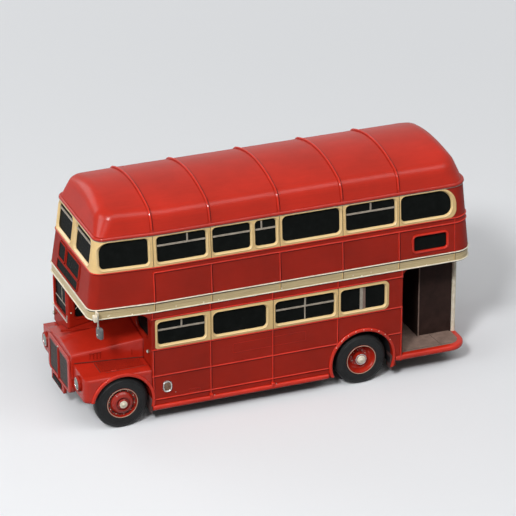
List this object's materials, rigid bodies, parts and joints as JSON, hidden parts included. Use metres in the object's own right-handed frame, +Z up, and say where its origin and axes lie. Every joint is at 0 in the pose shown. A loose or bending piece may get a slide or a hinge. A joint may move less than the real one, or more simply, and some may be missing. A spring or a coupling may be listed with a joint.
{
  "type": "scale model of an open-platform double-deck bus",
  "caption": "Scale model of a half-cab double-deck bus with an open rear platform; both axles turn freely so it rolls on its wheels.",
  "frame": {"origin": "on the ground below the middle of the model's box", "axes": "+X forward, +Y to the near side where the platform opens, +Z up"},
  "size_m": [0.1173, 0.0404, 0.0662],
  "materials": {
    "red_gloss": "glossy red enamel on moulded plastic, slightly weathered",
    "cream_gloss": "cream enamel on moulded plastic, dulled in the corners",
    "dark_pane": "opaque near-black glossy plastic",
    "pale_metal": "pale metal, satin",
    "grille_grey": "dark grey ribbed plastic",
    "lamp_lens": "clear pale lens",
    "rear_lens": "clear red lens",
    "brown_matte": "dark brown matt paint",
    "black_plastic": "matt black moulded plastic",
    "steel_rod": "drawn steel rod",
    "tyre": "soft black rubber, smooth"
  },
  "bodies": {
    "body": {"chassis": "black_plastic", "near_side_panel": "red_gloss", "off_side_panel": "red_gloss", "rear_panel": "red_gloss", "front_bulkhead": "red_gloss", "lower_window_band": "cream_gloss", "lower_glazing": "dark_pane", "bulkhead_glazing": "dark_pane", "rear_glazing": "dark_pane", "deck_floor": "red_gloss", "mid_band": "cream_gloss", "band_beads": "pale_metal", "upper_body": "red_gloss", "upper_window_band": "cream_gloss", "upper_glazing": "dark_pane", "roof": "red_gloss", "indicator_panels": "dark_pane", "window_bars": "pale_metal", "body_mouldings": "red_gloss", "bonnet": "red_gloss", "radiator_shell": "red_gloss", "radiator_grille": "grille_grey", "near_wing": "red_gloss", "off_wing": "red_gloss", "cab": "red_gloss", "cab_glazing": "dark_pane", "headlamps": "red_gloss", "headlamp_lenses": "lamp_lens", "side_lamps": "pale_metal", "side_lamp_lenses": "lamp_lens", "rear_lamps": "rear_lens", "platform_floor": "brown_matte", "platform_edge": "red_gloss", "stair_enclosure": "brown_matte", "saloon_bulkhead": "brown_matte", "platform_post": "cream_gloss", "skirt_rails": "red_gloss", "arch_lips": "red_gloss", "near_mirror": "pale_metal", "number_plate": "dark_pane"},
    "front_axle": {"front_axle_rod": "steel_rod", "front_near_wheel": "red_gloss", "front_off_wheel": "red_gloss", "front_near_tyre": "tyre", "front_off_tyre": "tyre"},
    "rear_axle": {"rear_axle_rod": "steel_rod", "rear_near_wheel": "red_gloss", "rear_off_wheel": "red_gloss", "rear_near_tyres": "tyre", "rear_off_tyres": "tyre"}
  },
  "joints": [
    {"name": "front_axle_spin", "type": "hinge", "parent": "body", "child": "front_axle", "pos_m": [0.0468, 0, 0.0077], "axis": [0, 1, 0], "continuous": true},
    {"name": "rear_axle_spin", "type": "hinge", "parent": "body", "child": "rear_axle", "pos_m": [-0.0245, 0, 0.0077], "axis": [0, 1, 0], "continuous": true}
  ]
}
